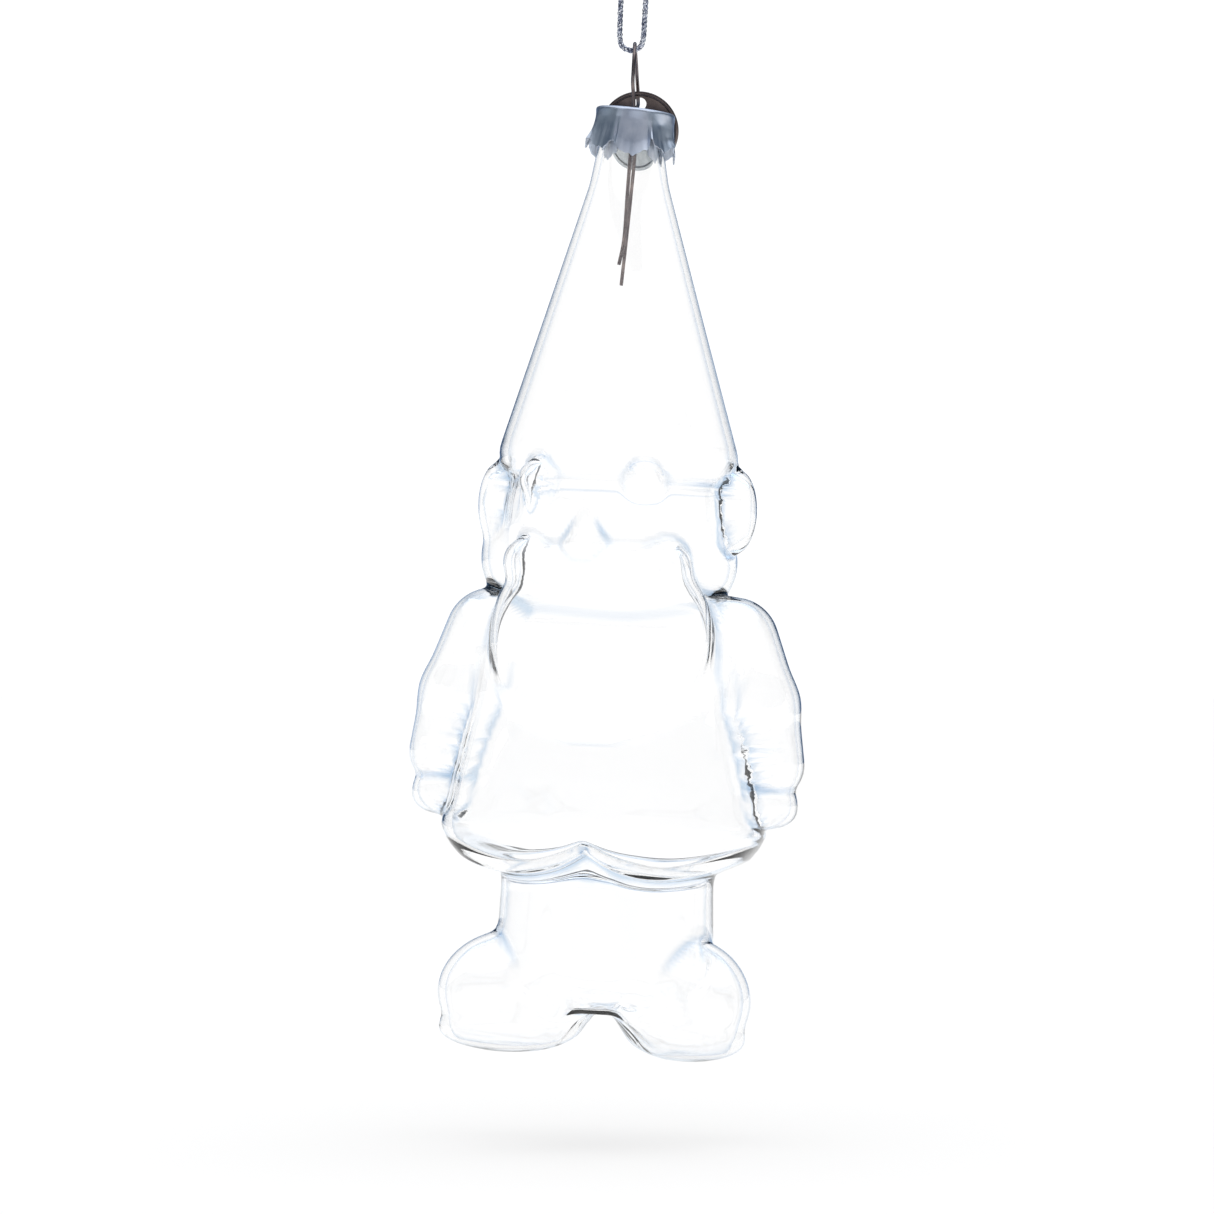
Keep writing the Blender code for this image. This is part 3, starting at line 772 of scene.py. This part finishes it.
def dark_plating(settings):
    """Steel with a dark nickel plating, tumbled: a deep brown mirror with fine random scuffs. The
    disc's lower half is painted pale grey-white: painted light, for how it looks seen through the
    glass neck."""
    material, tree, shader = new_material("dark_nickel_plated_steel")
    place = add_node(tree, "TexCoord").outputs["Object"]
    cloud = noise(tree, place, 330.0, 4.0)
    tone = ramp(tree, cloud, [(0.3, linear("4a4240")), (0.7, tuple(settings.steel))])
    height = add_node(tree, "SeparateXYZ", {"Vector": place}).outputs["Z"]
    # Painted light: the disc pales to grey-white below, for how it looks seen through the glass
    # neck.
    painted_pale = mapped(tree, height, EYE_TOP - PAINTED_PALE_TO, EYE_TOP - PAINTED_PALE_FROM, 0.85, 0.0)
    plated_and_painted_pale = mixed(tree, painted_pale, tone, linear("c9d0d3"))
    # Scuffs 0.15 mm apart.
    rough = mapped(tree, noise(tree, place, 6500.0, 2.0, 1.5), 0.35, 0.7, 0.14, 0.3)
    set_inputs(shader, {"Base Color": plated_and_painted_pale, "Roughness": rough, "Metallic": 1.0})
    return material


def disc_rings(radius):
    """The disc about its own middle, as rings out over its face, round its edge and back. At a
    share s of the radius its face stands half the sheet and a dome (1 - s^2) high, and a rim
    rises from it as half an oval. The edge is turned as a quarter of one."""
    share = np.concatenate([np.linspace(0.02, 0.86, 26), np.linspace(0.87, 0.985, 16)])
    edge = np.linspace(0, math.pi / 2, 7)[1:]
    rim = np.clip(1 - ((share - RIM_MIDDLE) / RIM_HALF_WIDTH) ** 2, 0, 1) ** 0.5
    height = DISC_HALF + DISC_DOME * (1 - share**2) + DISC_RIM * rim
    out = radius * share
    turn_out = out[-1] + (radius - out[-1]) * np.sin(edge)
    turn_up = height[-1] * np.cos(edge)
    across = np.concatenate([out, turn_out, turn_out[-2::-1], out[::-1]])[:, None]
    up = np.concatenate([height, turn_up, -turn_up[-2::-1], -height[::-1]])[:, None]
    angle = -np.arange(128) / 128 * TURN
    return np.stack([across * np.cos(angle), across * np.sin(angle), up + 0 * angle], -1)


class OBJECT_OT_ornament_disc(bpy.types.Operator):
    """Build the pierced disc"""

    bl_idname = "object.ornament_disc"
    bl_label = "Pierced Disc"

    def execute(self, context):
        settings = context.scene.ornament_disc
        radius = settings.diameter / 2
        lean = np.array(Matrix.Rotation(math.radians(90) + DISC_LEAN, 3, "X"))
        hole = DISC_HOLE_PLACE + (0, 0, EYE_TOP)
        centre = hole + lean @ (0, DISC_HOLE_INSET - radius, 0)
        poles = [centre + lean @ (0, 0, side * (DISC_HALF + DISC_DOME)) for side in (1, -1)]
        rings = disc_rings(radius) @ lean.T + centre
        disc = surface("pierced_disc", [(rings, *poles)], dark_plating(settings))
        axis = lean @ (0.0, 0.0, 1.0)
        cut_holes(disc, [rod("hole", hole, axis, settings.hole, CUT_LENGTH)])
        disc.data.set_sharp_from_angle(angle=SHARP_EDGE)
        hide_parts("tag_disc")
        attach(disc, "disc")
        return {"FINISHED"}


# ---------------------------------------------------------------- blown glass


def soft_union(first, second, blend):
    """The smaller of two distances, rounded off where they are within blend of each other."""
    near = np.maximum(blend - np.abs(first - second), 0.0)
    return np.minimum(first, second) - near * near / (4 * blend)


def round_form(points, centre, radii, turn, side):
    """Distance to an ellipsoid turned about the vertical: k (k - 1) / g, where k is the length
    of the point over the radii and g of the point over the radii squared."""
    angle = math.radians(turn) * side
    offset = points - np.array(centre) * MM * (side, 1, 1)
    across = offset[..., 0] * math.cos(angle) + offset[..., 1] * math.sin(angle)
    along = offset[..., 1] * math.cos(angle) - offset[..., 0] * math.sin(angle)
    local = np.stack([across, along, offset[..., 2]], axis=-1)
    radii = np.array(radii) * MM
    near = np.linalg.norm(local / radii, axis=-1)
    slope = np.linalg.norm(local / np.square(radii), axis=-1)
    return near * (near - 1) / np.maximum(slope, 1e-9)


def limb(points, upper, upper_radius, lower, lower_radius, side):
    """Distance to an oval limb: from its middle line, less a radius that tapers down it."""
    flatten = np.array([1, LIMB_FLATNESS, 1])
    start = np.array(upper) * MM * flatten * (side, 1, 1)
    run = np.array(lower) * MM * flatten * (side, 1, 1) - start
    share = np.clip((points * flatten - start) @ run / (run @ run), 0, 1)
    away = np.linalg.norm(points * flatten - start - share[..., None] * run, axis=-1)
    return away - (upper_radius + (lower_radius - upper_radius) * share) * MM


def turned_form(points, profile, squareness=2.0):
    """Distance to a form whose half widths follow a profile of heights. Its sections are ovals,
    or squarer where the power of their formula is above 2."""
    depth, half_width, half_thickness = profile.T
    level = points[..., 2]
    across = np.interp(level, depth, half_width)
    through = np.interp(level, depth, half_thickness)
    offset = np.stack([points[..., 0] / across, points[..., 1] / through])
    near = (np.abs(offset) ** squareness).sum(axis=0) ** (1 / squareness)
    wall = (near - 1) * np.minimum(across, through)
    return np.maximum(wall, np.maximum(depth[0] - level, level - depth[-1]))


def figure_distance(points, blend):
    """Distance from points to the gnome's skin: the soft union of all its forms."""
    face = points - (FACE_SHIFT, 0, 0)
    feet = points - (FEET_SHIFT, 0, 0)
    shifted = dict.fromkeys(("hair", "brow", "nose"), face)
    shifted.update(dict.fromkeys(("leg", "boot", "sole"), feet))
    found = turned_form(points, HAT)
    for at, profile, squareness in ((points, JACKET, JACKET_SQUARENESS), (feet, TROUSERS, 2.0)):
        found = soft_union(found, turned_form(at, profile, squareness), blend)
    for name, (centre, radii, turn, mirrored) in ROUND_FORMS.items():
        at = shifted.get(name, points)
        for side in (1, -1) if mirrored else (1,):
            found = soft_union(found, round_form(at, centre, radii, turn, side), blend)
    for name, shape in LIMBS.items():
        at = shifted.get(name, points)
        for side in (1, -1):
            found = soft_union(found, limb(at, *shape, side), blend)
    return np.maximum(found, points[..., 2] - DRAWN_TALL)


def skin(levels, columns, inset, blend):
    """Rings where rays leave the figure. A level from 0 to 1 goes down the middle with level
    rays, and one from 1 to 2 tips them down about the fan's centre. Each ray is tried at even
    steps and its last step inside is then halved to the skin."""
    share = np.clip(levels, 0, 1)[:, None]
    tip = np.clip(levels - 1, 0, 1)[:, None] * math.pi / 2
    turn = np.arange(columns) / columns * TURN
    start = np.stack([0 * share, FAN_CENTRE[1] * share**2, FAN_CENTRE[2] * share], axis=-1)
    heading = np.stack(
        [np.sin(turn) * np.cos(tip), -np.cos(turn) * np.cos(tip), np.sin(tip) + 0 * turn], axis=-1
    )
    reach = np.linspace(0, LONGEST_RAY, RAY_STEPS)
    tried = start[:, :, None] + heading[:, :, None] * reach[:, None]
    inside = figure_distance(tried, blend) < -inset
    last = len(reach) - 1 - np.argmax(inside[..., ::-1], axis=-1)
    near, far = reach[last], reach[np.minimum(last + 1, len(reach) - 1)]
    for _ in range(HALVINGS):
        middle = (near + far) / 2
        within = figure_distance(start + heading * middle[..., None], blend) < -inset
        near, far = np.where(within, middle, near), np.where(within, far, middle)
    return start + heading * near[..., None]


def long_skin(levels, columns, inset, blend):
    """The skin in bands of a few rings, which keeps the arrays small."""
    bands = np.array_split(levels, max(1, len(levels) // 12))
    return np.concatenate([skin(band, columns, inset, blend) for band in bands])


def lift_hem(points):
    """Draws the jacket's hem up to a cleft at the front, by a lift that falls off with distance
    from the middle, from the front and from the hem, and up at the sides, by one that grows
    with the cube of the distance from the middle."""
    hem = JACKET[-1][0]
    aside = np.abs(points[..., 0]) / (24 * MM)
    across = np.hypot(points[..., 0], 0.6 * MM) / CLEFT_WIDTH
    front = np.clip(-points[..., 1] / (8 * MM), 0, 1)
    near_hem = np.exp(-np.square((points[..., 2] - hem) / (7 * MM)))
    lifted = points.copy()
    lift = CLEFT_LIFT * np.exp(-across) * front + SIDE_LIFT * np.minimum(aside, 1) ** 3
    lifted[..., 2] -= lift * near_hem
    return lifted


def even_levels(rows, blend):
    """Levels spaced so that the rings lie about evenly along the figure's outline."""
    fine = np.linspace(0, 2, 241)
    rings = long_skin(fine, 24, 0.0, blend)
    steps = np.linalg.norm(np.diff(rings, axis=0), axis=-1).max(axis=1)
    along = np.concatenate([[0], np.cumsum(steps)])
    return np.interp(np.linspace(0, along[-1], rows + 1), along, fine)[:-1]


def melted(points, passes):
    """Each pass moves every point halfway to the middle of its four neighbours, as glass does
    when it cools in the mould. The end rings stay."""
    for _ in range(passes):
        beside = (np.roll(points, 1, axis=1) + np.roll(points, -1, axis=1)) / 2
        above = (points[:-2] + points[2:]) / 2
        points = points.copy()
        points[1:-1] = (points[1:-1] + (beside[1:-1] + above) / 2) / 2
    return points


def bend_of(rings):
    """How sharply the skin bends at each point, per metre: the second difference along and
    round the rings, against the outward direction. A crease is positive, a ridge negative."""
    along = np.gradient(rings, axis=0)
    around = (np.roll(rings, -1, axis=1) - np.roll(rings, 1, axis=1)) / 2
    outward = np.cross(around, along)
    outward /= np.maximum(np.linalg.norm(outward, axis=-1, keepdims=True), 1e-12)
    padded = np.concatenate([rings[:1], rings, rings[-1:]])
    found = 0
    for before, after in (
        (padded[:-2], padded[2:]),
        (np.roll(rings, 1, axis=1), np.roll(rings, -1, axis=1)),
    ):
        back, forth = before - rings, after - rings
        to_back = np.maximum(np.linalg.norm(back, axis=-1), 0.05 * MM)
        to_forth = np.maximum(np.linalg.norm(forth, axis=-1), 0.05 * MM)
        pull = back / to_back[..., None] + forth / to_forth[..., None]
        found = found + 2 * (pull * outward).sum(axis=-1) / (to_back + to_forth)
    return -found if (outward[5, 0] * (0, -1, 0)).sum() < 0 else found


def painted_crease_shade(rings):
    """How much painted shade each point of the skin gets, from 0 to 1, from how sharply the skin
    bends at a crease. The face gets little of it but for the tops of the brows and the nose: a
    soft spot, 1 at the middle of each, gives the painted shade back there."""
    lines = np.clip((bend_of(rings) - CREASE_SHADE_FROM) / CREASE_SHADE_SPAN, 0, 1)
    aside, level = rings[..., 0] - FACE_SHIFT, rings[..., 2]
    brow = np.square(np.abs(aside) - 8.2 * MM) + np.square(level - 52.6 * MM)
    nose = np.square(aside) + np.square(level - 63 * MM)
    spots = np.exp(-brow / (3 * MM) ** 2) + 1.3 * np.exp(-nose / (5 * MM) ** 2)
    across = np.exp(-((aside / (12 * MM)) ** 6)) * (rings[..., 1] < 0)
    spared_face = across * np.exp(-(((level - 65 * MM) / (20 * MM)) ** 6))
    return np.clip(lines * (1 - 0.9 * spared_face * (1 - spots)), 0, 1)


def clear_glass(settings):
    """Soda-lime glass, blown in a mould: clear where it is seen flat on, pale blue-grey where it
    is seen along its wall, and painted darker in the mould's creases: painted shade for how the
    creases bend the light."""
    material, tree, shader = new_material("mould_blown_soda_lime_glass")
    facing = add_node(tree, "LayerWeight", {"Blend": 0.5}).outputs["Facing"]
    edge = mapped(tree, facing, 0.6, 0.92, 0.0, 1.0, interpolation_type="SMOOTHERSTEP")
    # Painted shade: the creases take the edge tint, by the crease attribute.
    crease = add_node(tree, "Attribute", attribute_name="crease").outputs["Fac"]
    edge_tint_and_crease_shade = calculate(tree, "MAXIMUM", edge, crease)
    tint = ramp(tree, edge_tint_and_crease_shade, [(0.0, WHITE), (1.0, tuple(settings.edge))])
    set_inputs(shader, {"Base Color": tint, "Roughness": 0.0})
    set_inputs(shader, {"Transmission Weight": 1.0, "IOR": 1.5})
    return material


class OBJECT_OT_ornament_glass(bpy.types.Operator):
    """Build the blown glass gnome"""

    bl_idname = "object.ornament_glass"
    bl_label = "Glass Gnome"

    def execute(self, context):
        settings = context.scene.ornament_glass
        turn = np.array(Matrix.Rotation(GLASS_TURN, 3, "Z"))
        lip = np.array([0, 0, LIP_Z])
        upright = np.array([1, 1, -GLASS_TALL / DRAWN_TALL])
        walls, crease_shades, bottoms = [], [], []
        for rows, inset, passes in ((OUTER_ROWS, 0.0, 2), (INNER_ROWS, settings.wall, 8)):
            levels = even_levels(rows, settings.blend)
            rings = long_skin(levels, GLASS_COLUMNS, inset, settings.blend)
            rings = melted(lift_hem(rings), passes)
            crease_shades.append(painted_crease_shade(rings))
            walls.append((rings * upright) @ turn.T + lip)
            bottom = lift_hem(skin(np.array([2.0]), 4, inset, settings.blend))[0, 0]
            bottoms.append(turn @ (bottom * upright) + lip)
        rings = np.concatenate([walls[1][::-1], walls[0]])
        gnome = surface("blown_gnome", [(rings, bottoms[1], bottoms[0])], clear_glass(settings))
        # Painted shade for the outer wall's creases; the inner wall and the poles get none.
        crease = np.concatenate([0 * crease_shades[1][::-1].ravel(), crease_shades[0].ravel(), [0, 0]])
        add_attribute(gnome, "crease", crease)
        # Keeps specks of focused light off the floor, where the shadow is soft and even.
        gnome.visible_diffuse = False
        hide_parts("glass_gnome")
        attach(gnome, "glass")
        return {"FINISHED"}


# ---------------------------------------------------------------- stage


def studio_world():
    """A white sweep behind the ornament, and for what metal mirrors a studio: bright where the
    camera stands, grey-blue at the sides, dim behind, with a white table below."""
    world = bpy.data.worlds.new("studio")
    bpy.context.scene.world = world
    world.use_nodes = True
    tree = world.node_tree
    place = add_node(tree, "TexCoord").outputs["Generated"]
    right, back, up = add_node(tree, "SeparateXYZ", {"Vector": place}).outputs
    stops = [(0.0, "f4f4ff"), (1.0, "aebfca"), (0.3, "dde3f0"), (0.7, "b9c8d4")]
    aside = calculate(tree, "ABSOLUTE", right)
    walls = ramp(tree, aside, [(at, linear(colour)) for at, colour in stops])
    height = mapped(tree, up, -1.0, 1.0, 0.0, 1.0)
    stops = [(0.0, "ffffff"), (1.0, "ffffff"), (0.44, "ffffff")]
    stops += [(0.53, "f0f0f0"), (0.62, "8c8c8c"), (0.8, "b4b4b4")]
    levels = ramp(tree, height, [(at, linear(colour)) for at, colour in stops])
    behind = ramp(tree, back, [(0.05, WHITE), (0.45, linear("86a2c2"))])
    studio = mixed(tree, 1.0, walls, levels, blend_type="MULTIPLY")
    studio = mixed(tree, 1.0, studio, behind, blend_type="MULTIPLY")
    path = add_node(tree, "LightPath").outputs
    glossy, through = path["Is Glossy Ray"], path["Is Transmission Ray"]
    bounced = calculate(tree, "SUBTRACT", glossy, through, use_clamp=True)
    # What the glass bends sharply upwards meets a grey-blue ceiling.
    bent_up = calculate(tree, "MULTIPLY", height, through)
    bent = ramp(tree, bent_up, [(0.74, WHITE), (0.86, linear("a6bcd3"))])
    # The sweep is lit past white, so that only the glass's edges and creases show, and the
    # floor comes out as white from this and the overhead light together.
    spread = mapped(tree, path["Is Diffuse Ray"], 0.0, 1.0, SWEEP_LIGHT, FLOOR_LIGHT)
    bright = add_node(tree, "Mix", {"Factor": bounced, 2: spread, 3: 1.0}).outputs[0]
    seen = mixed(tree, bounced, bent, studio)
    set_inputs(tree.nodes["Background"], {"Color": seen, "Strength": bright})


def add_overhead():
    """One very soft light from straight overhead."""
    data = bpy.data.lights.new("overhead", "SUN")
    data.energy = SUN_LIGHT
    data.angle = SUN_WIDTH
    light = bpy.data.objects.new("overhead", data)
    bpy.context.scene.collection.objects.link(light)


class OBJECT_OT_ornament_stage(bpy.types.Operator):
    """Set up the camera, the floor, the lights and the white surroundings"""

    bl_idname = "object.ornament_stage"
    bl_label = "Stage"

    def execute(self, context):
        settings = context.scene.ornament_stage
        scene = context.scene
        scene.view_settings.view_transform = "Standard"
        cos, sin = math.cos(settings.lean), math.sin(settings.lean)
        right, up = np.array([cos, 0, sin]), np.array([-sin, 0, cos])
        middle = np.array([0, 0, EYE_TOP]) - VIEW_LEFT * settings.field * right
        middle = middle - VIEW_BELOW * settings.field * up
        camera = bpy.data.cameras.new("camera")
        camera.sensor_width = 36
        camera.lens = 36 * settings.distance / settings.field
        camera.clip_start = 0.01
        camera.clip_end = 20
        seen = bpy.data.objects.new("camera", camera)
        turned = np.eye(4)
        turned[:3, 0], turned[:3, 1], turned[:3, 2] = right, up, (0, -1, 0)
        turned[:3, 3] = middle + (0, -settings.distance, 0)
        seen.matrix_world = Matrix(turned.tolist())
        scene.collection.objects.link(seen)
        scene.camera = seen

        material, _, shader = new_material("matt_white_paper")
        set_inputs(
            shader, {"Base Color": settings.paper, "Roughness": 0.9, "Specular IOR Level": 0.1}
        )
        angle = np.arange(64) / 64 * TURN
        circle = np.stack([np.cos(angle), np.sin(angle), 0 * angle], -1)
        rings = np.array([0.02, 0.5, 1, 2, 4])[:, None, None] * circle
        level = np.array([right, (0, 1, 0), up])
        under = np.array([FLOOR_MIDDLE, 0, settings.floor])
        floor = surface("floor", [(rings @ level + under, under, None)], material)
        add_overhead()
        studio_world()
        return {"FINISHED"}


# ---------------------------------------------------------------- panel and registration

GROUPS = {
    "ornament_cord": CordSettings,
    "ornament_wire": WireSettings,
    "ornament_cap": CapSettings,
    "ornament_disc": DiscSettings,
    "ornament_glass": GlassSettings,
    "ornament_stage": StageSettings,
}
OPERATORS = (
    OBJECT_OT_ornament_stage,
    OBJECT_OT_ornament_cord,
    OBJECT_OT_ornament_wire,
    OBJECT_OT_ornament_cap,
    OBJECT_OT_ornament_disc,
    OBJECT_OT_ornament_glass,
)


class VIEW3D_PT_ornament(bpy.types.Panel):
    """Sizes, colours and builders of the glass gnome ornament"""

    bl_idname = "VIEW3D_PT_ornament"
    bl_label = "Glass Gnome Ornament"
    bl_space_type = "VIEW_3D"
    bl_region_type = "UI"
    bl_category = "Ornament"

    def draw(self, context):
        for operator in OPERATORS:
            name = operator.bl_idname.split(".")[1]
            box = self.layout.box()
            box.operator(operator.bl_idname)
            for key in GROUPS[name].__annotations__:
                box.prop(getattr(context.scene, name), key)


CLASSES = (*GROUPS.values(), *OPERATORS, VIEW3D_PT_ornament)


def register():
    for group in CLASSES:
        bpy.utils.register_class(group)
    for name, group in GROUPS.items():
        setattr(bpy.types.Scene, name, PointerProperty(type=group))


def unregister():
    for name in GROUPS:
        delattr(bpy.types.Scene, name)
    for group in reversed(CLASSES):
        bpy.utils.unregister_class(group)


def main():
    register()
    for operator in OPERATORS:
        getattr(bpy.ops.object, operator.bl_idname.split(".")[1])()
    bpy.context.view_layer.update()


if __name__ == "__main__":
    main()
